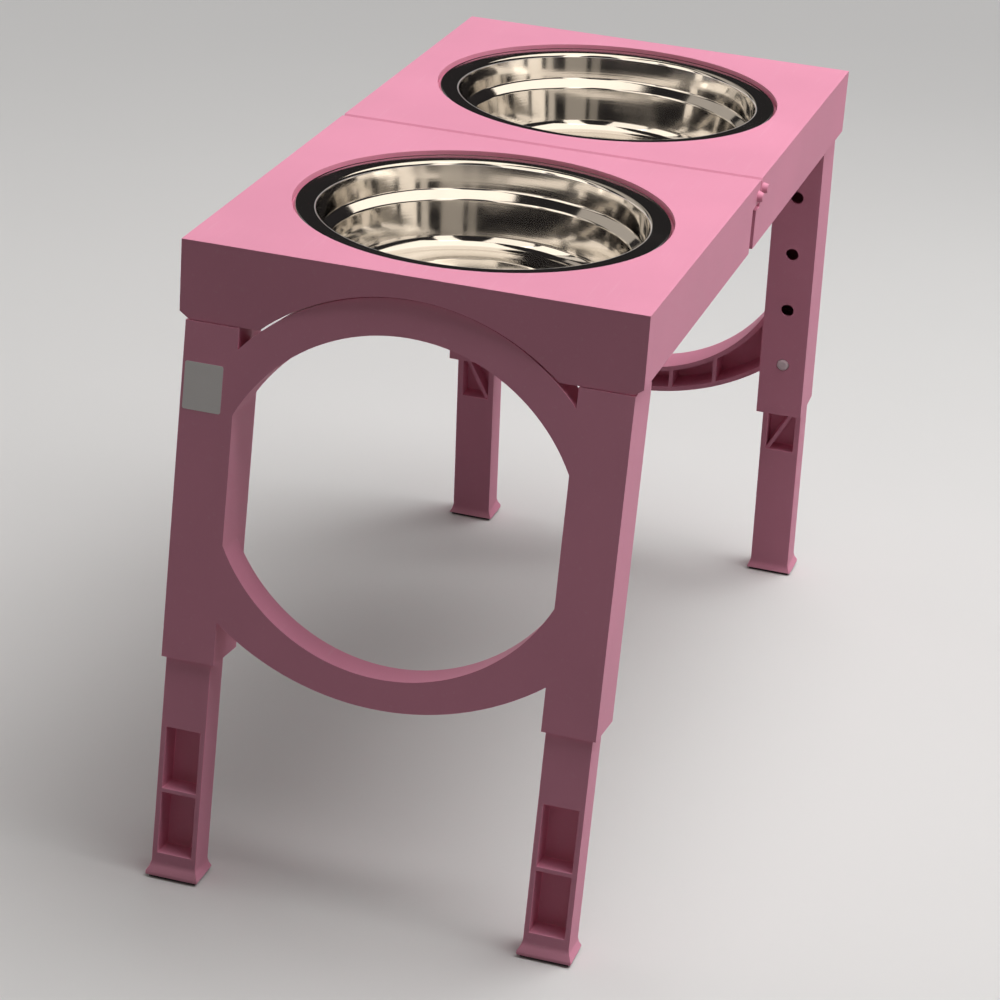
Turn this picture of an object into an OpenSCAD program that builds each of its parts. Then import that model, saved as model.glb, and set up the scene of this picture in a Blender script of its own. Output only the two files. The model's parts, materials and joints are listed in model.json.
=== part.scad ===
// Folding feeder stand for two lift-out bowls, on telescoping legs.
// Millimetres. Origin at the bottom centre, +Z up, front end towards -Y, seam across X at y = 0.
// Depths in the names below are measured down from the top face.

/* [Table top] */
// Width of the top, across the legs
top_w = 240; // [234:1:250]
// Length of each half, from the seam to the end
half_l = 240; // [236:1:250]
// Height of the top face above the floor, legs fully out
stand_h = 343; // [338:1:352]
// Thickness of the top plate
plate_t = 3; // [2.6:0.1:3.4]
// Thickness of the side, end and seam walls
wall_t = 3; // [2.6:0.1:3]
// Depth of the side walls
side_drop = 38; // [34:0.5:40]
// How much deeper the end wall goes than the side walls
corner_drop = 3.5; // [2:0.5:4]
// Width of the slanted lower corner of the end wall
corner_cut = 5; // [3:0.5:5]
// Gap between the two halves at the seam
seam_gap = 1.4; // [1:0.1:1.8]
// Width of the slanted top edge along the seam
seam_edge = 1.4; // [1:0.1:1.8]

/* [Bowls] */
// Outer radius of the bowl rim
rim_r = 98; // [95:0.5:98.5]
// Height of the rolled bead of the rim
bead_h = 2.6; // [2.2:0.1:3]
// Width of the flat flange with its bead
flange_w = 10.5; // [10:0.5:13]
// Depth of the bowl below the seat
bowl_depth = 43; // [40:1:46]
// Depth of the step below the seat
step_drop = 13; // [11:0.5:15]
// Width of the step
step_w = 5; // [4:0.5:6]
// Fall of the step over its width
step_fall = 4; // [3:0.5:5]
// Lean of the wall below the step, in degrees
wall_lean = 9; // [7:0.5:10]
// Inner radius of the bend from the wall to the bottom
bend_r = 8; // [6:0.5:9]
// Sheet thickness of the bowl
sheet_t = 1; // [0.8:0.1:1.2]
// Distance of the bowl axis from the seam
bowl_from_seam = 122; // [120:0.5:123]

/* [Bowl seat] */
// Depth of the seat below the top face
seat_drop = 4.4; // [4:0.1:4.4]
// Gap round the rim
rim_gap = 1.2; // [0.8:0.1:1.6]
// Thickness of the ledge that carries the rim
ledge_t = 2; // [1.8:0.1:2]
// Gap between the bowl wall and the ledge
hole_gap = 1.5; // [1.2:0.1:2]

/* [Leg frame] */
// Width of a sleeve
leg_w = 28.5; // [27:0.5:29]
// Depth of a sleeve
leg_d = 33; // [31:0.5:33]
// Distance of the sleeve from the outer side of the top
leg_inset = 3.8; // [3.6:0.1:4.4]
// Outward lean of the legs, in degrees
splay = 6.2; // [5.4:0.1:6.4]
// Depth of the pivot of a leg frame
pivot_drop = 24; // [23.5:0.5:25]
// Distance of the pivot from the end of the top
pivot_in = 18; // [17.5:0.5:19]
// Distance from the pivot to the outer face of a sleeve
face_out = 16.6; // [16.2:0.2:17]
// Gap between the hinge eye and the end wall
eye_gap = 0.5; // [0.4:0.1:0.8]
// Gap between the shoulder of a sleeve and the end wall
shoulder_gap = 0.3; // [0.3:0.1:0.6]
// Thickness of the sleeve walls
sleeve_wall = 1.7; // [1.6:0.1:2]

/* [Ring] */
// Gap between the ring and the end wall above it
arch_gap = 0.4; // [0.4:0.1:1]
// Depth of the ring, from its outer to its inner face
ring_d = 20; // [18:0.5:22]
// Height of the band at the top of the ring
ring_band = 19; // [17:0.5:20]
// How far the circle of the opening reaches past the sleeves
ring_bow = 10; // [9:0.5:12]
// Depth of the highest point of the opening
ring_top = 34; // [33:0.5:36]
// Height of the lowest point of the opening above the sleeve ends
ring_rise = 10.5; // [9:0.5:12]
// Height of the band at the bottom of the ring
low_band = 16.5; // [15:0.5:18]
// Radius of the lower edge of the ring
low_r = 145; // [140:1:155]
// Wall thickness of the ring
ring_wall = 3; // [2.5:0.1:3.5]
// Thickness of the ribs in the ring
rib_t = 2.5; // [2:0.1:3]
// Distance between the ribs in the ring
rib_pitch = 28; // [26:0.5:30]

/* [Lower legs] */
// Gap on each side between a lower leg and its sleeve
slide_gap = 0.25; // [0.2:0.05:0.35]
// Distance between two height holes
hole_pitch = 38; // [36:0.5:38]
// Diameter of a height hole
hole_d = 8; // [7.6:0.1:9]
// Height of the lowest hole above the sleeve end
hole_up = 35; // [33:0.5:36]
// Length of a lower leg inside its sleeve, legs fully out
engage = 60; // [58:0.5:60]
// Depth of the part of a lower leg that comes out of the sleeve
stem_d = 18; // [17:0.5:20]
// Wall thickness of a lower leg
shell_t = 3; // [2.6:0.1:3.2]
// Height of the foot with its pad
lip_h = 8; // [7.5:0.5:9]
// How far the foot is wider than the leg
lip_w = 2.2; // [1.6:0.1:2.4]
// Height of the flare above the edge of the foot
flare_h = 5.5; // [4:0.5:6]
// Thickness of a foot pad
pad_t = 1.6; // [1.4:0.1:2]
// How far a pad is set in from the edge of the foot
pad_inset = 1.6; // [1.2:0.1:1.7]
// Gap between foot and sleeve, legs fully in
stow_gap = 0.7; // [0.5:0.1:1]

/* [Buttons and pins] */
// Gap round a snap button
button_gap = 0.25; // [0.2:0.05:0.4]
// How far a snap button stands out of the sleeve
button_proud = 0.8; // [0.5:0.1:1]
// Diameter of a pivot pin
pin_d = 6; // [5:0.5:7]
// Running fit of the pins, at the radius
pin_clear = 0.05; // [0.03:0.01:0.08]
// Diameter of a pivot pin head
head_d = 10; // [9:0.5:11]
// Thickness of the pin heads
head_t = 2; // [1.6:0.1:2.4]
// Gap on each side of a sleeve at its pivot
cheek_gap = 0.4; // [0.3:0.05:0.6]
// Thickness of the inner tab of a pivot
tab_t = 3.5; // [3:0.1:4]
// Depth of the fold axis of the top
fold_drop = 43; // [42:0.5:46]
// Diameter of a fold pin
fold_pin_d = 4; // [3.5:0.1:4.4]
// Radius of a hinge knuckle
knuckle_r = 4.5; // [4.2:0.1:5]
// Length of a hinge knuckle
knuckle_l = 8; // [7:0.5:9]
// Distance of the hinge knuckles from the middle
knuckle_x = 52; // [48:0.5:54]

/* [Side latch] */
// Depth of the notch in the sides of the front half
notch_drop = 13; // [12.5:0.5:15]
// Length of the notch along the side
notch_l = 16; // [12:0.5:18]
// Length of the tongue of the rear half in the notch
tongue_l = 7; // [6:0.5:9]
// Gap above the tongue
tongue_gap = 3; // [2.5:0.5:4]
// Radius of a latch lug at its root
lug_r = 3.6; // [3:0.1:4]
// How far a lug stands out of the side
lug_out = 3; // [2:0.2:3.4]

/* [Hidden] */
$fn = 96;
pink = [0.87, 0.38, 0.51];
steel = [0.76, 0.76, 0.78];
rubber = [0.05, 0.05, 0.055];
pale = [0.86, 0.84, 0.85];

// Table top
side_x = top_w / 2;
seam_y = seam_gap / 2;
end_drop = side_drop + corner_drop;
seat_z = stand_h - seat_drop;
seat_r = rim_r + rim_gap;
seat_h = ledge_t + seat_drop - plate_t / 2;
wall_r = rim_r - flange_w;
hole_r = wall_r + hole_gap;
seam_drop = fold_drop - 10;
ledge_w = 3;
weld = 1;
lug_tip = 0.65;
tongue_top = stand_h - notch_drop - tongue_gap;

// Bowl, measured from its axis and its seat
bead_x = rim_r - bead_h / 2;
flange_z = bead_h - 0.3;
lip_r = 2;
lip_end = 175;
upper_r = wall_r - 3;
lower_r = upper_r - step_w;
step_low = -step_drop - step_fall;
step_t = 0.7;
bend_z = sheet_t - bowl_depth + bend_r;
bend_x = lower_r - (step_low - bend_z) * tan(wall_lean) - bend_r / cos(wall_lean);

// Leg frame, measured from its pivot with the legs straight down
leg_x1 = side_x - leg_inset;
leg_x0 = leg_x1 - leg_w;
leg_x = (leg_x0 + leg_x1) / 2;
leg_in = leg_d - face_out;
leg_y = (leg_in - face_out) / 2;
eye_r = pivot_in - wall_t - eye_gap;
neck_out = eye_r - 2;
shoulder = (end_drop - pivot_drop + shoulder_gap + face_out * sin(splay)) / cos(splay);
stem_y = sleeve_wall + slide_gap + stem_d / 2 - face_out;
foot_len = (stand_h - pivot_drop - stem_y * sin(splay)) / cos(splay);
travel = 3 * hole_pitch;
sleeve_len = foot_len - travel - lip_h - stow_gap;
bore_top = shoulder + 1.5;
bore_x = leg_w / 2 - sleeve_wall;
bore_y = leg_d / 2 - sleeve_wall;

// Ring
ring_r = leg_x0 + ring_bow;
ring_z = pivot_drop - ring_top - ring_r;
low_in = sleeve_len - ring_rise;
low_out = low_in + low_band;
arch_r = ring_r + ring_band + arch_gap;
arch_z = stand_h - pivot_drop + ring_z * cos(splay) + face_out * sin(splay);

// Lower legs
in_x = bore_x - slide_gap;
in_y = bore_y - slide_gap;
stem_in = stem_d - in_y;
lip_top = sleeve_len + travel + stow_gap;
pocket_l = 34;
pocket_starts = [39, 75.5];
pocket_web = 4;
window_start = 2;
window_l = 30;
window_side = 3.6;
window_d = 10;
brace_t = 2.4;
brace_turn = 62;
button_r = hole_d / 2 - button_gap;
button_z = sleeve_len - hole_up;

// Pins
bearing_r = pin_d / 2 + pin_clear;
tab_x = leg_x0 - cheek_gap - tab_t;
boss_r = 9;
knuckle_gap = 0.4;
lug_d = 3;
lug_h = 13;
fold_head_t = 1.5;
fold_head_r = fold_pin_d / 2 + 1.5;
fold_z = stand_h - fold_drop;

// Points of an arc about a centre, from angle a to angle b
function arc(centre, r, a, b, steps = 5) =
    [for (i = [0 : steps]) centre + r * [cos(a + (b - a) * i / steps), sin(a + (b - a) * i / steps)]];

// A flat outline drawn in x and z, as a slab from y0 to y1
module slab_xz(y0, y1) {
    translate([0, y1, 0]) rotate([90, 0, 0]) linear_extrude(y1 - y0) children();
}

// A flat outline drawn in y and z, as a slab from x0 to x1
module slab_yz(x0, x1) {
    translate([x0, 0, 0]) rotate([90, 0, 90]) linear_extrude(x1 - x0) children();
}

module rod_x(x0, x1, r) {
    translate([x0, 0, 0]) rotate([0, 90, 0]) cylinder(r = r, h = x1 - x0);
}

module box(x0, x1, y0, y1, z0, z1) {
    translate([x0, y0, z0]) cube([x1 - x0, y1 - y0, z1 - z0]);
}

module side(s) {
    mirror([s < 0 ? 1 : 0, 0, 0]) children();
}

module end(e) {
    mirror([0, e < 0 ? 0 : 1, 0]) children();
}

module at_pivot() {
    translate([0, pivot_in - half_l, stand_h - pivot_drop]) children();
}

module at_bowl(up) {
    translate([0, -bowl_from_seam, seat_z + up]) children();
}

module at_leg() {
    at_pivot() rotate([-splay, 0, 0]) children();
}

// End wall with the arch above the ring
module end_outline() {
    difference() {
        polygon([
            [-side_x, stand_h], [side_x, stand_h], [side_x, stand_h - side_drop],
            [side_x - corner_cut, stand_h - end_drop], [corner_cut - side_x, stand_h - end_drop],
            [-side_x, stand_h - side_drop]
        ]);
        translate([0, arch_z]) circle(r = arch_r, $fn = 192);
    }
}

// What both halves share, drawn for the front
module half_shell() {
    difference() {
        union() {
            box(-side_x, side_x, -half_l, -seam_y, stand_h - plate_t, stand_h);
            for (s = [-1, 1]) side(s) {
                box(side_x - wall_t, side_x, -half_l, -seam_y, stand_h - side_drop, stand_h);
                at_pivot() rod_x(leg_x1 + cheek_gap, side_x - weld, boss_r);
                at_pivot() rod_x(tab_x, tab_x + tab_t, boss_r);
                at_pivot() box(tab_x, tab_x + tab_t, -boss_r, boss_r, 0, pivot_drop - weld);
            }
            slab_xz(-half_l, wall_t - half_l) end_outline();
            at_bowl(-ledge_t) cylinder(r = seat_r + ledge_w, h = seat_h, $fn = 192);
            box(4 - tab_x, tab_x - 4, -seam_y - wall_t, -seam_y, stand_h - seam_drop, stand_h);
        }
        slab_yz(-side_x - 1, side_x + 1) translate([-seam_y, stand_h])
            polygon([[-seam_edge - 1, 1], [1, 1], [1, -seam_edge - 1]]);
        at_bowl(0) cylinder(r = seat_r, h = seat_drop + 1, $fn = 192);
        at_bowl(-ledge_t - 1) cylinder(r = hole_r, h = ledge_t + 2, $fn = 192);
        for (s = [-1, 1]) side(s) at_pivot() rod_x(tab_x - 1, side_x - 1, bearing_r);
    }
}

// One hinge knuckle on its lug, with the lug on the -Y side of the seam
module knuckle(x0) {
    translate([0, 0, fold_z]) difference() {
        union() {
            rod_x(x0, x0 + knuckle_l, knuckle_r);
            box(x0, x0 + knuckle_l, -seam_y - wall_t - lug_d, -seam_y, 0, lug_h);
        }
        rod_x(x0 - 1, x0 + knuckle_l + 1, fold_pin_d / 2 + pin_clear);
    }
}

// Lug on the outside of a side wall
module latch_lug(y, drop) {
    translate([side_x - weld, y, stand_h - drop]) rotate([0, 90, 0])
        cylinder(r1 = lug_r, r2 = lug_r * lug_tip, h = lug_out + weld);
}

module front_top() {
    color(pink) {
        difference() {
            half_shell();
            for (s = [-1, 1]) side(s)
                box(side_x - wall_t - 1, side_x + 1, -notch_l, 0,
                    stand_h - side_drop - 1, stand_h - notch_drop);
        }
        for (s = [-1, 1]) side(s) {
            knuckle(knuckle_x);
            latch_lug(-seam_y - lug_r - 1.5, notch_drop - lug_r - 1);
        }
    }
}

module rear_top() {
    color(pink) {
        end(1) half_shell();
        for (s = [-1, 1]) side(s) {
            end(1) knuckle(knuckle_x + knuckle_l + knuckle_gap);
            box(side_x - wall_t, side_x, -tongue_l, seam_y + weld, stand_h - side_drop, tongue_top);
            latch_lug(seam_y + lug_r + 1, plate_t + lug_r);
        }
    }
}

// Ring of a leg frame, as a flat outline
module ring_outline() {
    difference() {
        union() {
            intersection() {
                translate([0, ring_z]) circle(r = ring_r + ring_band, $fn = 192);
                translate([-leg_x0 - 1, ring_z]) square([2 * leg_x0 + 2, 2 * ring_r]);
            }
            intersection() {
                translate([0, low_r - low_out]) circle(r = low_r, $fn = 192);
                translate([-leg_x0 - 1, -low_out - 1]) square([2 * leg_x0 + 2, low_out + 1 + ring_z]);
            }
        }
        ring_opening();
    }
}

module ring_opening() {
    intersection() {
        translate([0, ring_z]) circle(r = ring_r, $fn = 192);
        translate([0, ring_r - low_in]) circle(r = ring_r, $fn = 192);
        translate([-leg_x0, -low_out]) square([2 * leg_x0, low_out + pivot_drop]);
    }
}

// Hollows on the inward side of the ring, between the ribs
module ring_hollows() {
    difference() {
        union() {
            intersection() {
                difference() {
                    translate([0, ring_z]) circle(r = ring_r + ring_band - ring_wall, $fn = 192);
                    translate([0, ring_z]) circle(r = ring_r + ring_wall, $fn = 192);
                }
                translate([-leg_x0, ring_z]) square([2 * leg_x0, 2 * ring_r]);
            }
            intersection() {
                difference() {
                    translate([0, low_r - low_out]) circle(r = low_r - ring_wall, $fn = 192);
                    translate([0, ring_r - low_in]) circle(r = ring_r + ring_wall, $fn = 192);
                }
                translate([ring_wall - leg_x0, -low_out])
                    square([2 * leg_x0 - 2 * ring_wall, low_out - low_in + ring_r * 0.55]);
            }
        }
        for (i = [-2 : 2]) translate([i * rib_pitch - rib_t / 2, -low_out - 1])
            square([rib_t, low_out + pivot_drop]);
    }
}

module leg_frame(e) {
    color(pink) end(e) at_leg() difference() {
        union() {
            for (s = [-1, 1]) side(s) {
                box(leg_x0, leg_x1, -face_out, leg_in, -sleeve_len, -shoulder);
                box(leg_x0, leg_x1, -neck_out, eye_r, -shoulder - 1, 0);
                rod_x(leg_x0, leg_x1, eye_r);
            }
            slab_xz(-face_out, ring_d - face_out) ring_outline();
        }
        slab_xz(ring_wall - face_out, ring_d - face_out + 1) ring_hollows();
        for (s = [-1, 1]) side(s) {
            translate([leg_x, leg_y, 0])
                box(-bore_x, bore_x, -bore_y, bore_y, -sleeve_len - 1, -bore_top);
            rod_x(leg_x0 - 1, leg_x1 + 1, bearing_r);
            for (i = [0 : 3]) translate([leg_x, leg_in + 1, i * hole_pitch - button_z])
                rotate([90, 0, 0]) cylinder(d = hole_d, h = sleeve_wall + 2);
        }
    }
}

// Outline of a lower leg from a to b, wider at the foot by lip, with its head up to c
module leg_outline(a, b, c, lip) {
    head = engage - sleeve_len;
    neck = 1 - sleeve_len;
    end = -lip_top - lip_h - 6;
    polygon([
        [a, head], [c, head], [c, neck], [b, neck], [b, -lip_top], [b + lip / 3, -lip_top - flare_h / 2],
        [b + lip, -lip_top - flare_h], [b + lip, end], [a - lip, end], [a - lip, -lip_top - flare_h],
        [a - lip / 3, -lip_top - flare_h / 2], [a, -lip_top]
    ]);
}

module leg_solid(inset) {
    intersection() {
        slab_xz(-leg_d, leg_d) leg_outline(-in_x, in_x, in_x, lip_w - inset);
        slab_yz(-leg_w, leg_w) leg_outline(-in_y, stem_in, in_y, lip_w - inset);
    }
}

module lower_leg(e, s) {
    color(pink) end(e) side(s) difference() {
        at_leg() translate([leg_x, leg_y, 0]) difference() {
            leg_solid(0);
            box(shell_t - in_x, in_x - shell_t, shell_t - in_y, in_y - shell_t, 4 - sleeve_len, engage);
            difference() {
                box(window_side - in_x, in_x - window_side, stem_in - window_d, stem_in + 1,
                    -sleeve_len - window_start - window_l, -sleeve_len - window_start);
                translate([0, 0, -sleeve_len - window_start - window_l / 2]) rotate([0, -brace_turn, 0])
                    box(-window_l, window_l, stem_in - window_d - 1, stem_in - 1, -brace_t / 2, brace_t / 2);
            }
            for (z = pocket_starts)
                box(shell_t - in_x, in_x - shell_t, -in_y - 1, stem_in - pocket_web,
                    -sleeve_len - z - pocket_l, -sleeve_len - z);
            translate([0, in_y + 1, -button_z]) rotate([90, 0, 0]) cylinder(d = hole_d, h = shell_t + 2);
        }
        box(0, 2 * side_x, -2 * half_l, 0, -50, pad_t);
    }
}

// Rubber pad under a foot
module foot_pad(e, s) {
    color(rubber) end(e) side(s) intersection() {
        at_leg() translate([leg_x, leg_y, 0]) leg_solid(pad_inset);
        box(0, 2 * side_x, -2 * half_l, 0, 0, pad_t);
    }
}

// Button with its spring leaf, inside a lower leg
module snap_button(e, s) {
    color(pale) end(e) side(s) at_leg() translate([leg_x, leg_y, -button_z]) {
        y0 = in_y - shell_t;
        y1 = leg_d / 2 + button_proud;
        rotate([-90, 0, 0]) rotate_extrude() polygon([
            [0, y0 - 1.3], [button_r + 1.6, y0 - 1.3], [button_r + 1.6, y0 - 0.15], [button_r, y0 - 0.15],
            [button_r, y1 - 1.2], [button_r - 0.5, y1 - 0.5], [button_r - 1.4, y1], [0, y1]
        ]);
        slab_yz(-3, 3) polygon([
            [y0 - 1, 5], [y0 - 1, 0], [0, -24.5], [0.3 - y0, 0], [0.3 - y0, 4], [1.2 - y0, 4],
            [1.2 - y0, 0], [0, -21.8], [y0 - 2, 0], [y0 - 2, 5]
        ]);
    }
}

// Pin of a leg frame, head on the inner side
module pivot_pin(e, s) {
    color(steel) end(e) side(s) at_pivot() {
        rod_x(tab_x - head_t, side_x - 1.2, pin_d / 2);
        rod_x(tab_x - head_t, tab_x, head_d / 2);
    }
}

// Pin of the folding top, a head at each end of its two knuckles
module fold_pin(s) {
    x1 = knuckle_x + 2 * knuckle_l + knuckle_gap;
    color(steel) side(s) translate([0, 0, fold_z]) {
        rod_x(knuckle_x - fold_head_t, x1 + knuckle_gap + fold_head_t, fold_pin_d / 2);
        rod_x(knuckle_x - fold_head_t, knuckle_x, fold_head_r);
        rod_x(x1 + knuckle_gap, x1 + knuckle_gap + fold_head_t, fold_head_r);
    }
}

// Pressed steel bowl with a stepped wall and a rolled rim
module bowl(e) {
    lip_at = [wall_r, flange_z - lip_r];
    bend_at = [bend_x, bend_z];
    color(steel) end(e) at_bowl(0) rotate_extrude($fn = 192) {
        translate([bead_x, bead_h / 2]) circle(d = bead_h, $fn = 32);
        translate([bead_x - 1, 0]) square([2, sheet_t]);
        polygon(concat(
            [[bead_x, flange_z]], arc(lip_at, lip_r, 90, lip_end),
            [[upper_r, -step_drop], [lower_r, step_low]], arc(bend_at, bend_r, -wall_lean, -90),
            [[0, sheet_t - bowl_depth], [0, -bowl_depth]], arc(bend_at, bend_r + sheet_t, -90, -wall_lean),
            [[lower_r + sheet_t, step_low - step_t], [upper_r + sheet_t, -step_drop - step_t]],
            arc(lip_at, lip_r - sheet_t, lip_end, 90), [[bead_x, flange_z - sheet_t]]
        ));
    }
}

front_top();
rear_top();
leg_frame(-1);  // front_leg_frame
leg_frame(1);  // rear_leg_frame
lower_leg(-1, -1);  // front_left_lower_leg
lower_leg(-1, 1);  // front_right_lower_leg
lower_leg(1, -1);  // rear_left_lower_leg
lower_leg(1, 1);  // rear_right_lower_leg
snap_button(-1, -1);  // front_left_snap_button
snap_button(-1, 1);  // front_right_snap_button
snap_button(1, -1);  // rear_left_snap_button
snap_button(1, 1);  // rear_right_snap_button
foot_pad(-1, -1);  // front_left_foot_pad
foot_pad(-1, 1);  // front_right_foot_pad
foot_pad(1, -1);  // rear_left_foot_pad
foot_pad(1, 1);  // rear_right_foot_pad
pivot_pin(-1, -1);  // front_left_pivot_pin
pivot_pin(-1, 1);  // front_right_pivot_pin
pivot_pin(1, -1);  // rear_left_pivot_pin
pivot_pin(1, 1);  // rear_right_pivot_pin
fold_pin(-1);  // left_fold_pin
fold_pin(1);  // right_fold_pin
bowl(-1);  // front_bowl
bowl(1);  // rear_bowl
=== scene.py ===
# %% [markdown]
# A folding feeder stand for two bowls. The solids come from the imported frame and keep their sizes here.
# This lesson dresses them: soft moulded edges, polished bowls, and finishes that are made from nodes alone.

# %% Load the frame
import json
import math

import bmesh
import bpy
from mathutils import Matrix, Vector


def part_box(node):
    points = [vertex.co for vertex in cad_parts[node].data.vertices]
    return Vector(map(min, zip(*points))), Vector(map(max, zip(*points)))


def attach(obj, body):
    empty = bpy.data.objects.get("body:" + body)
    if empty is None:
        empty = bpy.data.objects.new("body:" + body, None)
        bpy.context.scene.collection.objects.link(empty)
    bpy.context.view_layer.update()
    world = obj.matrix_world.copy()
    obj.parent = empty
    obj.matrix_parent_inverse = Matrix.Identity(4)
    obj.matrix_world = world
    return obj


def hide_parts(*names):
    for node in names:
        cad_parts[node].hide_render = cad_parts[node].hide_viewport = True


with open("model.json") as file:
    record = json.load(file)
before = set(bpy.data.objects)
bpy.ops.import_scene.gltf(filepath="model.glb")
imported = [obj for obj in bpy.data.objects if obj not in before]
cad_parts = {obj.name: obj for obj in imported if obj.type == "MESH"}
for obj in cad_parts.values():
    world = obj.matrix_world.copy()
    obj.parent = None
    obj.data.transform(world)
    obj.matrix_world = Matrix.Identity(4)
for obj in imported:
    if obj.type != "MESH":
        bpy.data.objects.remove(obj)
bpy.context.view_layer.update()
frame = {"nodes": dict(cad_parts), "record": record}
record = frame["record"]
body_of_node = {n: body for body, nodes in record["behaviour"]["bodies"].items() for n in nodes}
slot_of_node = {s["node"]: s["material_slot"] for s in record["subparts"]}

# %% [markdown]
# The photo looks down on the stand from the front, a little from the right, with the camera tipped sideways.
# A camera could be placed by eye, but the table's corners and rims give its place and angles, so they are
# set here. A long lens far away keeps the far end almost as large as the near end, as the photo does.

# %% Camera
MM = 0.001
CAMERA_AT = Vector((443.4, -1669.5, 870.0)) * MM
VIEW_TURN = math.radians(-15.3)
VIEW_DOWN = math.radians(23.2)
VIEW_ROLL = math.radians(-4.2)
FOCAL_PX = 3265
IMAGE_PX = 1000
SENSOR_MM = 36.0

forward = math.cos(VIEW_DOWN)
ahead = Vector((math.sin(VIEW_TURN) * forward, math.cos(VIEW_TURN) * forward, -math.sin(VIEW_DOWN)))
level_right = ahead.cross(Vector((0, 0, 1))).normalized()
level_down = ahead.cross(level_right)
image_right = math.cos(VIEW_ROLL) * level_right + math.sin(VIEW_ROLL) * level_down
image_down = -math.sin(VIEW_ROLL) * level_right + math.cos(VIEW_ROLL) * level_down
camera_turn = Matrix((image_right, -image_down, -ahead)).transposed().to_4x4()

camera = bpy.data.objects.new("camera", bpy.data.cameras.new("camera"))
camera.data.sensor_width = SENSOR_MM
camera.data.lens = FOCAL_PX / IMAGE_PX * SENSOR_MM
camera.matrix_world = Matrix.Translation(CAMERA_AT) @ camera_turn
bpy.context.scene.collection.objects.link(camera)
bpy.context.scene.camera = camera
bpy.context.scene.view_settings.view_transform = "Standard"
print("lens", round(camera.data.lens, 1), "mm at", tuple(round(v, 3) for v in CAMERA_AT))

# %% [markdown]
# Shader maths reads best as plain sums. Wire wraps a socket, so that 1 - mask or speck * 0.2 adds the Math
# nodes itself. Finish makes one material: node() adds any node with its settings first and its sockets
# after, and the last call hands the values to the Principled shader. Constants go straight on the shader's
# own sockets.

# %% Shader helpers
class Wire:
    """A socket's value, for sums in Python."""

    def __init__(self, finish, socket):
        self.finish = finish
        self.socket = socket

    def maths(self, operation, *values):
        return self.finish.node("Math", {"operation": operation}, dict(enumerate(values)))

    def __add__(self, other):
        return self.maths("ADD", self, other)

    def __sub__(self, other):
        return self.maths("SUBTRACT", self, other)

    def __rsub__(self, other):
        return self.maths("SUBTRACT", other, self)

    def __mul__(self, other):
        return self.maths("MULTIPLY", self, other)

    def __pow__(self, other):
        return self.maths("POWER", self, other)

    def __rpow__(self, other):
        return self.maths("POWER", other, self)

    __radd__ = __add__
    __rmul__ = __mul__

    def between(self, low, high):
        """0 below low, 1 above high, smooth from one to the other."""
        return self.finish.node("MapRange", {"interpolation_type": "SMOOTHSTEP"},
                                {"Value": self, "From Min": low, "From Max": high})


class Finish:
    """One material and its nodes."""

    def __init__(self, name):
        self.material = bpy.data.materials.new(name)
        self.material.use_nodes = True
        self.nodes = self.material.node_tree.nodes
        self.links = self.material.node_tree.links
        self.shader = self.nodes["Principled BSDF"]

    def node(self, kind, settings=None, sockets=None, out=0):
        made = self.nodes.new("ShaderNode" + kind)
        for key, value in (settings or {}).items():
            setattr(made, key, value)
        for key, value in (sockets or {}).items():
            self.feed(made.inputs[key], value)
        return Wire(self, made.outputs[out])

    def feed(self, socket, value):
        if isinstance(value, Wire):
            self.links.new(value.socket, socket)
        else:
            socket.default_value = value

    def place(self):
        return self.node("TexCoord", out="Object")

    def stretched(self, scale):
        """The place with each direction scaled on its own, for marks that run one way."""
        return self.node("Mapping", {}, {"Vector": self.place(), "Scale": scale})

    def noise(self, scale, detail=2.0, at=None):
        return self.node("TexNoise", {}, {"Vector": at or self.place(), "Scale": scale, "Detail": detail})

    def mix(self, factor, a, b):
        made = self.nodes.new("ShaderNodeMix")
        made.data_type = "RGBA"
        ends = {s.identifier: s for s in made.inputs}
        for key, value in (("Factor_Float", factor), ("A_Color", a), ("B_Color", b)):
            self.feed(ends[key], value)
        return Wire(self, next(s for s in made.outputs if s.identifier == "Result_Color"))

    def bump(self, height, depth, strength):
        return self.node("Bump", {}, {"Height": height, "Distance": depth, "Strength": strength})

    def shade(self, **values):
        for key, value in values.items():
            self.feed(self.shader.inputs[key.replace("_", " ")], value)
        return self.material


def tint(colour, factor):
    return tuple(min(1.0, c * factor) for c in colour) + (1.0,)


print("shader helpers ready")

# %% [markdown]
# The stand is moulded in one pink. A flat pink would look like paint, and real mouldings aren't even: the
# colour drifts a little over a hand's width, the surface has a fine spark grain under a millimetre, and
# handling leaves faint dull strokes along the length. The narrow bevel faces get a sister finish of their
# own,
# a touch paler and glossier: a painted highlight along every edge.

# %% Pink moulded plastic
PINK = (0.81, 0.315, 0.45)
SCUFFED_PINK = (0.93, 0.62, 0.72, 1.0)
DRIFT_SCALE, SPECK_SCALE, GRAIN_SCALE = 9.0, 260.0, 1500.0
STROKE_SCALE = (420.0, 16.0, 420.0)
GRAIN_DEPTH = 0.12 * MM


def moulded_pink(name, edge_highlight):
    f = Finish(name)
    drift = f.noise(DRIFT_SCALE, 3.0)
    grain = f.noise(GRAIN_SCALE)
    strokes = f.noise(1.0, at=f.stretched(STROKE_SCALE)).between(0.62, 0.74)
    specks = f.noise(SPECK_SCALE, 1.0).between(0.70, 0.78)
    # Painted highlight: the finish for the bevel faces is a tenth paler than the faces.
    paler = 0.1 * edge_highlight
    even = f.mix(drift.between(0.3, 0.7), tint(PINK, 0.965 + paler), tint(PINK, 1.03 + paler))
    worn = f.mix(strokes * 0.10 + specks * 0.05, even, SCUFFED_PINK)
    relief = f.bump(grain * 0.8 + strokes * 0.4, GRAIN_DEPTH, 0.35)
    rough = 0.54 - 0.08 * edge_highlight + strokes * 0.12 + (drift - 0.5) * 0.10
    return f.shade(Base_Color=worn, Roughness=rough, Specular_IOR_Level=0.3, Normal=relief)


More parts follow.
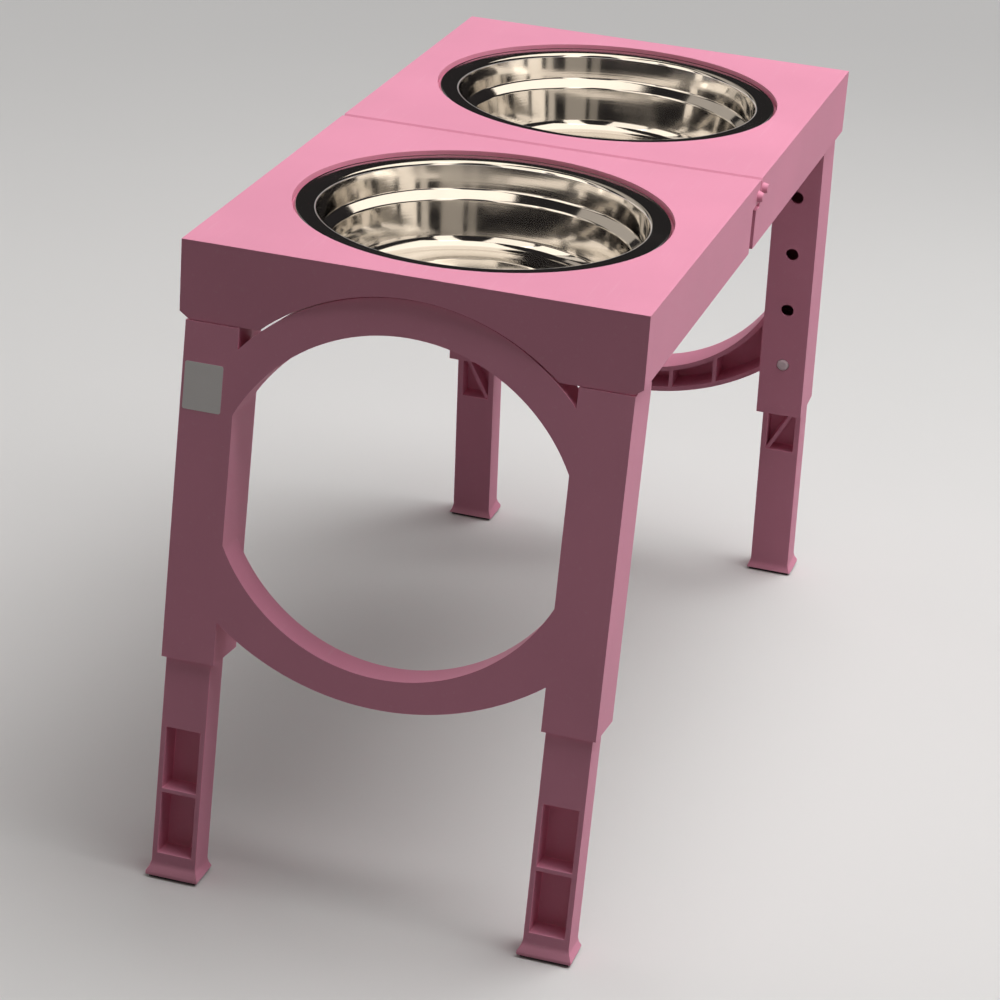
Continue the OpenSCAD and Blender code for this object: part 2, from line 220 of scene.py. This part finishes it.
pink = moulded_pink("pink_plastic", 0)
# The paler finish for the bevel faces, a painted edge highlight.
pink_edge_highlight = moulded_pink("pink_plastic_edge_highlight", 1)
print("finishes", pink.name, pink_edge_highlight.name)

# %% [markdown]
# The bowls are spun from stainless steel and polished. Spinning leaves rings round the axis that are finer
# than a hair: a noise read along the radius alone gives them, and it feeds the bump and the roughness. Both
# bowls share the finish, because the distance from the nearer bowl's axis needs only the size of y. Soft
# smears break the mirror here and there.

# %% Polished steel
STEEL = (0.74, 0.72, 0.69)
STEEL_POLISH = 0.05
RINGS_PER_M = 2600.0
RING_DEPTH = 0.03 * MM
SMEAR_SCALE = 28.0

rim_low, rim_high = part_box("front_bowl")
BOWL_Y = abs(rim_low.y + rim_high.y) / 2


def spun_steel(name):
    f = Finish(name)
    parts = f.node("SeparateXYZ", {}, {"Vector": f.place()}).socket.node.outputs
    x, y = Wire(f, parts["X"]), Wire(f, parts["Y"])
    along = y.maths("ABSOLUTE", y) - BOWL_Y
    radius = (x * x + along * along) ** 0.5
    rings = f.node("TexNoise", {"noise_dimensions": "1D"},
                   {"W": radius * RINGS_PER_M, "Scale": 1.0, "Detail": 2.0})
    smears = f.noise(SMEAR_SCALE, 3.0).between(0.52, 0.72)
    shade = f.mix(smears * 0.5, tint(STEEL, 1.0), tint(STEEL, 0.93))
    rough = STEEL_POLISH + rings * 0.05 + smears * 0.07
    return f.shade(Base_Color=shade, Metallic=1.0, Roughness=rough, Normal=f.bump(rings, RING_DEPTH, 0.25))


bowl_steel = spun_steel("bowl_steel")
print("finish", bowl_steel.name, "axis at y", round(BOWL_Y, 4))

# %% [markdown]
# Small parts have their own stuff: turned steel pins with fine tool marks along their axis, matt black rubber
# pads with a dusty bloom, pale snap buttons, and a white paper label that is left blank. Each finish is one
# pair of colours mixed by its own noise, with a finer noise for the surface.

# %% Pins, pads, buttons and paper
TOOL_MARK_SCALE = (3200.0, 60.0, 60.0)


def turned_steel():
    f = Finish("steel_pin")
    marks = f.noise(1.0, at=f.stretched(TOOL_MARK_SCALE))
    colour = f.mix(marks, (0.50, 0.50, 0.52, 1.0), (0.62, 0.62, 0.63, 1.0))
    return f.shade(Base_Color=colour, Metallic=1.0, Roughness=0.26 + marks * 0.16,
                   Normal=f.bump(marks, 0.04 * MM, 0.4))


def black_rubber():
    f = Finish("rubber")
    bloom = f.noise(120.0, 3.0).between(0.4, 0.7)
    pores = f.noise(2400.0)
    colour = f.mix(bloom, (0.030, 0.029, 0.030, 1.0), (0.075, 0.071, 0.070, 1.0))
    return f.shade(Base_Color=colour, Roughness=0.72 + pores * 0.2, Normal=f.bump(pores, 0.1 * MM, 0.5))


def button_plastic():
    f = Finish("pale_plastic")
    drift = f.noise(300.0)
    colour = f.mix(drift, (0.84, 0.66, 0.72, 1.0), (0.90, 0.76, 0.80, 1.0))
    return f.shade(Base_Color=colour, Roughness=0.28 + drift * 0.1,
                   Normal=f.bump(f.noise(1800.0), 0.05 * MM, 0.3))


def label_paper():
    f = Finish("label_paper")
    fibres = f.noise(2200.0, 3.0)
    soil = f.noise(45.0, 1.0)
    colour = f.mix(soil, (0.90, 0.885, 0.875, 1.0), (0.85, 0.83, 0.82, 1.0))
    return f.shade(Base_Color=colour, Roughness=0.55 + fibres * 0.2, Normal=f.bump(fibres, 0.05 * MM, 0.5))


pin_steel = turned_steel()
rubber = black_rubber()
pale = button_plastic()
paper = label_paper()
print("finishes", [m.name for m in (pin_steel, rubber, pale, paper)])

# %% [markdown]
# A moulded or turned edge is never sharp: it is its small round that catches the light in the photo. The
# frame's meshes are loose triangles, so each one is copied, its doubles are merged and its flat faces joined,
# and a Bevel modifier rounds what is left. Weighted normals keep the large faces flat. The copy takes its
# node's place and its body.

# %% Piece helpers
def add_piece(name, mesh):
    piece = bpy.data.objects.new(name, mesh)
    bpy.context.scene.collection.objects.link(piece)
    return piece


def mesh_of(work, name):
    """A new mesh from a bmesh, which is then let go."""
    mesh = bpy.data.meshes.new(name)
    work.to_mesh(mesh)
    work.free()
    return mesh


def work_in_modifiers(piece):
    """The piece becomes a plain mesh, with none of its modifiers left on it."""
    graph = bpy.context.evaluated_depsgraph_get()
    worked = piece.evaluated_get(graph)
    plain = bpy.data.meshes.new_from_object(worked, preserve_all_data_layers=True, depsgraph=graph)
    piece.modifiers.clear()
    piece.data = plain


def stand_for(piece, node):
    """The piece takes the node's place and its body."""
    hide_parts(node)
    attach(piece, body_of_node[node])


print("piece helpers ready")

# %% Soft edges on the solids
SAME_POINT = 0.002 * MM
FLAT_LIMIT = math.radians(0.6)
ROUND_LIMIT = math.radians(32)
ROUND_STEPS = 2
# Slot: the finish of its faces, that of its rounded edges, and the size of the round.
looks = {
    # The pink edges take the paler finish, a painted edge highlight.
    "pink_plastic": (pink, pink_edge_highlight, 0.4 * MM),
    "pale_plastic": (pale, pale, 0.25 * MM),
    "rubber": (rubber, rubber, 0.4 * MM),
    "steel_pin": (pin_steel, pin_steel, 0.3 * MM),
}


def soften(node):
    finish, edge_finish, width = looks[slot_of_node[node]]
    work = bmesh.new()
    work.from_mesh(frame["nodes"][node].data)
    bmesh.ops.remove_doubles(work, verts=work.verts, dist=SAME_POINT)
    bmesh.ops.dissolve_limit(work, angle_limit=FLAT_LIMIT, verts=work.verts, edges=work.edges)
    mesh = mesh_of(work, node + "_soft")
    mesh.materials.clear()
    mesh.materials.append(finish)
    mesh.materials.append(edge_finish)
    mesh.polygons.foreach_set("material_index", [0] * len(mesh.polygons))
    mesh.shade_smooth()
    piece = add_piece(node + "_soft", mesh)
    bevel = piece.modifiers.new("edge round", "BEVEL")
    bevel.width = width
    bevel.segments = ROUND_STEPS
    bevel.material = 1
    bevel.limit_method = "ANGLE"
    bevel.angle_limit = ROUND_LIMIT
    bevel.use_clamp_overlap = True
    even = piece.modifiers.new("flat faces", "WEIGHTED_NORMAL")
    even.keep_sharp = True
    work_in_modifiers(piece)
    stand_for(piece, node)
    return piece


softened = [soften(node) for node in body_of_node if slot_of_node[node] in looks]
print("softened", len(softened), "pieces,", sum(len(p.data.polygons) for p in softened), "faces")

# %% [markdown]
# A bowl is a lathe shape: one outline turned about an axis. The outline is drawn here once, from the middle
# of the floor up the stepped wall, over the flange, round the rolled bead and back underneath, with a small
# arc at each bend. Smooth shading would make the straight stretches look bent, so a point close to each end
# of an arc holds them straight.

# %% Sizes of a bowl
RIM_R = (rim_high.x - rim_low.x) / 2
BEAD = 2.6 * MM
SHEET = 1.0 * MM
WALL_R = RIM_R - 10.5 * MM
UPPER_R = WALL_R - 3 * MM
STEP_Z, STEP_FALL, STEP_W = -13 * MM, 4 * MM, 5 * MM
LOWER_R = UPPER_R - STEP_W
FLOOR_R = LOWER_R - 4 * MM
RING_R, RING_W, RING_UP, RING_SLOPE = 50 * MM, 3.5 * MM, 0.5 * MM, 1.0 * MM
FLOOR_BEND, STEP_BEND, LIP_BEND = 7 * MM, 1.8 * MM, 2.4 * MM
UNDER_FLOOR_BEND, UNDER_BEND = 8 * MM, 1.5 * MM

# Heights are from the seat, which the flange lies on.
SEAT_Z = rim_high.z - BEAD
UNDER_FLOOR_Z = rim_low.z - SEAT_Z
FLOOR_Z = UNDER_FLOOR_Z + SHEET
FLANGE_Z = BEAD - 0.3 * MM
UNDER_FLANGE_Z = FLANGE_Z - SHEET
UNDER_STEP_Z = STEP_Z - 0.7 * MM
print("bowl", round(RIM_R / MM, 1), "mm to its rim,", round(-UNDER_FLOOR_Z / MM, 1), "mm below its seat")

# %% Outline of a bowl
ARC_STEPS = 6
ARC_HOLD = 0.3 * MM


def eased(points):
    """Points (r, z, bend radius) as a line with an arc at each bend, held straight beyond it."""
    line = []
    for i, (r, z, bend) in enumerate(points):
        here = Vector((r, z))
        if bend == 0 or i in (0, len(points) - 1):
            line.append(here)
            continue
        before = (Vector(points[i - 1][:2]) - here).normalized()
        after = (Vector(points[i + 1][:2]) - here).normalized()
        half = before.angle(after) / 2
        reach = bend / math.tan(half)
        centre = here + (before + after).normalized() * (bend / math.sin(half))
        start = here + before * reach - centre
        end = here + after * reach - centre
        turn = start.angle_signed(end)
        line.append(here + before * (reach + ARC_HOLD))
        for k in range(ARC_STEPS + 1):
            a = -turn * k / ARC_STEPS
            line.append(centre + Vector((start.x * math.cos(a) - start.y * math.sin(a),
                                         start.x * math.sin(a) + start.y * math.cos(a))))
        line.append(here + after * (reach + ARC_HOLD))
    return line


inside = [
    (0.0, FLOOR_Z, 0),
    (RING_R, FLOOR_Z, 0),
    (RING_R + RING_SLOPE, FLOOR_Z + RING_UP, 0),
    (RING_R + RING_W - RING_SLOPE, FLOOR_Z + RING_UP, 0),
    (RING_R + RING_W, FLOOR_Z, 0),
    (FLOOR_R, FLOOR_Z, FLOOR_BEND),
    (LOWER_R, STEP_Z - STEP_FALL, STEP_BEND),
    (UPPER_R, STEP_Z, STEP_BEND),
    (WALL_R - 1.0 * MM, FLANGE_Z, LIP_BEND),
    (RIM_R - 0.7 * BEAD, FLANGE_Z, 0),
    (RIM_R - BEAD / 2, FLANGE_Z, 0),
]
BEAD_DEGREES = range(75, -151, -15)
rolled = [(RIM_R - BEAD / 2 + BEAD / 2 * math.cos(a), BEAD / 2 + BEAD / 2 * math.sin(a), 0)
          for a in map(math.radians, BEAD_DEGREES)]
beneath = [
    (RIM_R - 3.2 * MM, UNDER_FLANGE_Z, 0),
    (WALL_R + 0.2 * MM, UNDER_FLANGE_Z, UNDER_BEND),
    (UPPER_R + SHEET, UNDER_STEP_Z, UNDER_BEND),
    (LOWER_R + SHEET, UNDER_STEP_Z - STEP_FALL, UNDER_BEND),
    (FLOOR_R + SHEET, UNDER_FLOOR_Z, UNDER_FLOOR_BEND),
    (0.0, UNDER_FLOOR_Z, 0),
]
bowl_outline = eased(inside) + eased(rolled) + eased(beneath)
print("bowl outline", len(bowl_outline), "points")

# %% [markdown]
# Turning that outline is a rule, so Geometry Nodes follow it. A flat grid has one row for each outline point
# and one column for each step of the turn. Every grid point looks up its outline point by its row, and its
# column gives the angle. Merging by distance closes the seam and the poles.

# %% Lathe tree
LATHE_INPUTS = (("Geometry", "Geometry"), ("Outline points", "Int"), ("Turn steps", "Int"),
                ("Axis foot", "Vector"), ("Finish", "Material"))
MERGE_DISTANCE = 0.001 * MM


def lathe_tree():
    tree = bpy.data.node_groups.new("lathe", "GeometryNodeTree")
    for name, kind in LATHE_INPUTS:
        tree.interface.new_socket(name, in_out="INPUT", socket_type="NodeSocket" + kind)
    tree.interface.new_socket("Geometry", in_out="OUTPUT", socket_type="NodeSocketGeometry")

    def add(kind, settings=None, sockets=None):
        made = tree.nodes.new(kind)
        for key, value in (settings or {}).items():
            setattr(made, key, value)
        for key, value in (sockets or {}).items():
            if isinstance(value, bpy.types.NodeSocket):
                tree.links.new(value, made.inputs[key])
            else:
                made.inputs[key].default_value = value
        return made

    def sum_of(operation, a, b=0.0):
        return add("ShaderNodeMath", {"operation": operation}, {0: a, 1: b}).outputs[0]

    given = add("NodeGroupInput").outputs
    steps = given["Turn steps"]
    grid = add("GeometryNodeMeshGrid", {}, {"Vertices X": given["Outline points"], "Vertices Y": steps})
    index = add("GeometryNodeInputIndex").outputs[0]
    row = sum_of("FLOOR", sum_of("DIVIDE", sum_of("ADD", index, 0.5), steps))
    column = sum_of("SUBTRACT", index, sum_of("MULTIPLY", row, steps))
    angle = sum_of("MULTIPLY", sum_of("DIVIDE", column, sum_of("SUBTRACT", steps, 1.0)), math.tau)
    position = add("GeometryNodeInputPosition").outputs[0]
    outline = add("GeometryNodeSampleIndex", {"data_type": "FLOAT_VECTOR", "domain": "POINT"},
                  {"Geometry": given["Geometry"], "Value": position, "Index": row})
    drawn = add("ShaderNodeSeparateXYZ", {}, {0: outline.outputs[0]}).outputs
    turned = add("ShaderNodeCombineXYZ", {}, {
        "X": sum_of("MULTIPLY", drawn["X"], sum_of("COSINE", angle)),
        "Y": sum_of("MULTIPLY", drawn["X"], sum_of("SINE", angle)),
        "Z": drawn["Z"]})
    place = add("ShaderNodeVectorMath", {"operation": "ADD"}, {0: turned.outputs[0], 1: given["Axis foot"]})
    bent = add("GeometryNodeSetPosition", {},
               {"Geometry": grid.outputs["Mesh"], "Position": place.outputs[0]})
    closed = add("GeometryNodeMergeByDistance", {},
                 {"Geometry": bent.outputs[0], "Distance": MERGE_DISTANCE})
    smooth = add("GeometryNodeSetShadeSmooth", {}, {"Geometry": closed.outputs[0]})
    real = add("GeometryNodeRealizeInstances", {}, {"Geometry": smooth.outputs[0]})
    clad = add("GeometryNodeSetMaterial", {}, {"Geometry": real.outputs[0], "Material": given["Finish"]})
    tree.links.new(clad.outputs[0], add("NodeGroupOutput").inputs[0])
    return tree


lathe = lathe_tree()
print("lathe tree", len(lathe.nodes), "nodes")

# %% [markdown]
# Each bowl is the outline as a bare line of edges, with the lathe on it. The tree's inputs are set by their
# identifiers, the result becomes a plain mesh, and its normals are turned outwards before it stands in for
# the bowl's solid.

# %% Two bowls
TURN_STEPS = 145


def spin_bowl(node, tree):
    low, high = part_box(node)
    mesh = bpy.data.meshes.new(node + "_spun")
    points = [(p.x, 0.0, p.y) for p in bowl_outline]
    mesh.from_pydata(points, [(i, i + 1) for i in range(len(points) - 1)], [])
    piece = add_piece(node + "_spun", mesh)
    turner = piece.modifiers.new("lathe", "NODES")
    turner.node_group = tree
    values = {"Outline points": len(points), "Turn steps": TURN_STEPS, "Finish": bowl_steel,
              "Axis foot": (0.0, (low.y + high.y) / 2, SEAT_Z)}
    for item in tree.interface.items_tree:
        if item.in_out == "INPUT" and item.name in values:
            turner[item.identifier] = values[item.name]
    work_in_modifiers(piece)
    work = bmesh.new()
    work.from_mesh(piece.data)
    bmesh.ops.recalc_face_normals(work, faces=work.faces)
    work.to_mesh(piece.data)
    work.free()
    stand_for(piece, node)
    return piece


bowls = [spin_bowl(node, lathe) for node in ("front_bowl", "rear_bowl")]
print("bowls", [(b.name, len(b.data.polygons)) for b in bowls])

# %% [markdown]
# A white paper label sits on the outer face of the front left sleeve. It is a thin sheet with rounded
# corners, drawn flat and then laid on the sleeve's leaning face. It stays blank.

# %% Blank label
PIVOT = Vector((0.0, -222.0, 319.0)) * MM
LEAN = math.radians(6.2)
SLEEVE_FACE = 16.6 * MM
LABEL_W, LABEL_H, LABEL_T, LABEL_BEND = 20.5 * MM, 25 * MM, 0.15 * MM, 1.2 * MM
LABEL_X, LABEL_DOWN = -104.6 * MM, 53 * MM
LABEL_LIFT = 0.02 * MM
# The side of each corner across and up, and the angle at which its arc starts.
LABEL_CORNERS = ((1, 1, 0), (-1, 1, 90), (-1, -1, 180), (1, -1, 270))
CORNER_STEPS = 5


def label_piece():
    rim = []
    for cx, cz, first in LABEL_CORNERS:
        for step in range(CORNER_STEPS + 1):
            a = math.radians(first + step * 90 / CORNER_STEPS)
            rim.append((LABEL_X + cx * (LABEL_W / 2 - LABEL_BEND) + LABEL_BEND * math.cos(a),
                        cz * (LABEL_H / 2 - LABEL_BEND) + LABEL_BEND * math.sin(a) - LABEL_DOWN))
    work = bmesh.new()
    sheet = work.faces.new([work.verts.new((x, -SLEEVE_FACE - LABEL_LIFT, z)) for x, z in rim])
    grown = bmesh.ops.extrude_face_region(work, geom=[sheet])["geom"]
    raised = [v for v in grown if isinstance(v, bmesh.types.BMVert)]
    bmesh.ops.translate(work, verts=raised, vec=(0, -LABEL_T, 0))
    bmesh.ops.recalc_face_normals(work, faces=work.faces)
    on_sleeve = Matrix.Translation(PIVOT) @ Matrix.Rotation(-LEAN, 4, "X")
    bmesh.ops.transform(work, verts=work.verts, matrix=on_sleeve)
    mesh = mesh_of(work, "blank_label")
    mesh.materials.append(paper)
    piece = add_piece("blank_label", mesh)
    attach(piece, "front_frame")
    return piece


label = label_piece()
print("label at", tuple(round(v, 4) for v in label.data.vertices[0].co))

# %% [markdown]
# The floor is plain and pale to the eye and fades into an even backdrop, as a roll of studio paper does. It
# throws less light back up than it shows, so that the ends stay in shade as in the photo. The world ends the
# backdrop just above the horizon: higher up it is dark, because the flat rims of the bowls mirror it and are
# dark in the photo.

# %% Floor and backdrop
FLOOR_HALF = 8.0
FLOOR_TONES = (0.74, 0.73, 0.72, 1.0), (0.77, 0.76, 0.75, 1.0)
FLOOR_BOUNCE = (0.30, 0.28, 0.27, 1.0)
BACKDROP = (0.56, 0.55, 0.545, 1.0)
FADE_FROM, FADE_TO = 0.8, 2.6
HORIZON_FROM, HORIZON_TO = 0.08, 0.20
DARK_ABOVE = (0.022, 0.02, 0.02, 1.0)
FILL = (0.05, 0.05, 0.05, 1.0)


def rays_that_show(f):
    """1 for what the eye or a mirror sees, 0 for light on its way to a dull surface."""
    seen, mirrored, through = [f.node("LightPath", out=f"Is {kind} Ray")
                               for kind in ("Camera", "Glossy", "Transmission")]
    return seen + mirrored + through


def pale_ground():
    f = Finish("floor")
    f.shade(Base_Color=f.mix(f.noise(3.0), *FLOOR_TONES), Roughness=0.8)
    near = Wire(f, f.shader.outputs[0])
    far = f.node("Emission", {}, {"Color": BACKDROP})
    away = f.node("VectorMath", {"operation": "LENGTH"}, {0: f.place()}, out="Value")
    fading = f.node("MixShader", {}, {0: away.between(FADE_FROM, FADE_TO), 1: near, 2: far})
    dull = f.node("BsdfDiffuse", {}, {"Color": FLOOR_BOUNCE})
    shown = f.node("MixShader", {}, {0: rays_that_show(f), 1: dull, 2: fading})
    f.feed(f.nodes["Material Output"].inputs["Surface"], shown)
    return f.material


class Surround(Finish):
    """The world and its nodes."""

    def __init__(self, name):
        self.world = bpy.data.worlds.new(name)
        self.world.use_nodes = True
        self.nodes = self.world.node_tree.nodes
        self.links = self.world.node_tree.links
        self.shader = self.nodes["Background"]


def studio_world():
    s = Surround("studio")
    up = s.node("SeparateXYZ", {}, {"Vector": s.node("TexCoord", out="Generated")}, out="Z")
    shown = s.mix(up.between(HORIZON_FROM, HORIZON_TO), BACKDROP, DARK_ABOVE)
    s.feed(s.shader.inputs["Color"], s.mix(rays_that_show(s), FILL, shown))
    return s.world


def plain_floor():
    mesh = bpy.data.meshes.new("floor")
    h = FLOOR_HALF
    mesh.from_pydata([(-h, -h, 0), (h, -h, 0), (h, h, 0), (-h, h, 0)], [], [(0, 1, 2, 3)])
    mesh.materials.append(pale_ground())
    ground = add_piece("floor", mesh)
    return ground


floor = plain_floor()
bpy.context.scene.world = studio_world()
print("floor", floor.name, "backdrop", BACKDROP[:3])

# %% [markdown]
# One large soft lamp above gives the bright top, and a weak one on either hand lights the sides. A bare lamp
# would burn out in polished steel, so these three don't show in mirrors.

# %% Lamps
LAMPS_AIM = Vector((0.0, 0.0, 0.25))


def soft_lamp(name, at, width, height, watts):
    lamp = bpy.data.objects.new(name, bpy.data.lights.new(name, "AREA"))
    lamp.data.shape = "RECTANGLE"
    lamp.data.size = width
    lamp.data.size_y = height
    lamp.data.energy = watts
    lamp.location = at
    lamp.rotation_euler = (LAMPS_AIM - Vector(at)).to_track_quat("-Z", "Y").to_euler()
    bpy.context.scene.collection.objects.link(lamp)
    return lamp


# Place, width and height in metres, then watts.
lamps = [
    soft_lamp("lamp_above", (0.7, 0.3, 2.2), 2.0, 2.0, 56.0),
    soft_lamp("lamp_right", (2.2, 0.3, 1.0), 1.6, 1.6, 6.0),
    soft_lamp("lamp_left", (-2.2, 0.3, 1.0), 1.6, 1.6, 10.0),
]
for lamp in lamps:
    lamp.visible_glossy = False
print("lamps", [(lamp.name, lamp.data.energy) for lamp in lamps])

# %% [markdown]
# Polished steel shows only what it mirrors. It sees pale panels in place of the lamps, one above and some
# upright ones far off, with gaps between them: in the bowls they become light and dark bands.

# %% Panels for the steel to mirror
PANEL_COLOUR = (1.0, 0.89, 0.76)
PANEL_AWAY, PANEL_UP, PANEL_TALL = 3.0, 2.0, 3.4
# Turn in degrees round from straight ahead, width in metres, and how brightly it shows.
UPRIGHT_PANELS = ((134, 0.9, 1.5), (190, 2.0, 1.4), (226, 1.6, 1.5),
                  (252, 0.7, 0.8), (295, 2.1, 0.45), (326, 0.8, 0.3))


def pale_panel(name, at, width, height, glow):
    """A warm panel that shows in polished steel and leaves the plastic alone."""
    panel = soft_lamp(name, at, width, height, glow * math.pi * width * height)
    panel.data.color = PANEL_COLOUR
    panel.visible_diffuse = False
    return panel


def upright_panel(turn, width, glow):
    a = math.radians(turn)
    at = (PANEL_AWAY * math.sin(a), PANEL_AWAY * math.cos(a), PANEL_UP)
    return pale_panel(f"panel_{turn}", at, width, PANEL_TALL, glow)


panels = [upright_panel(*panel) for panel in UPRIGHT_PANELS]
panels.append(pale_panel("panel_above", (0.55, 0.2, 2.2), 2.8, 2.2, 1.5))
print("panels", [panel.name for panel in panels])
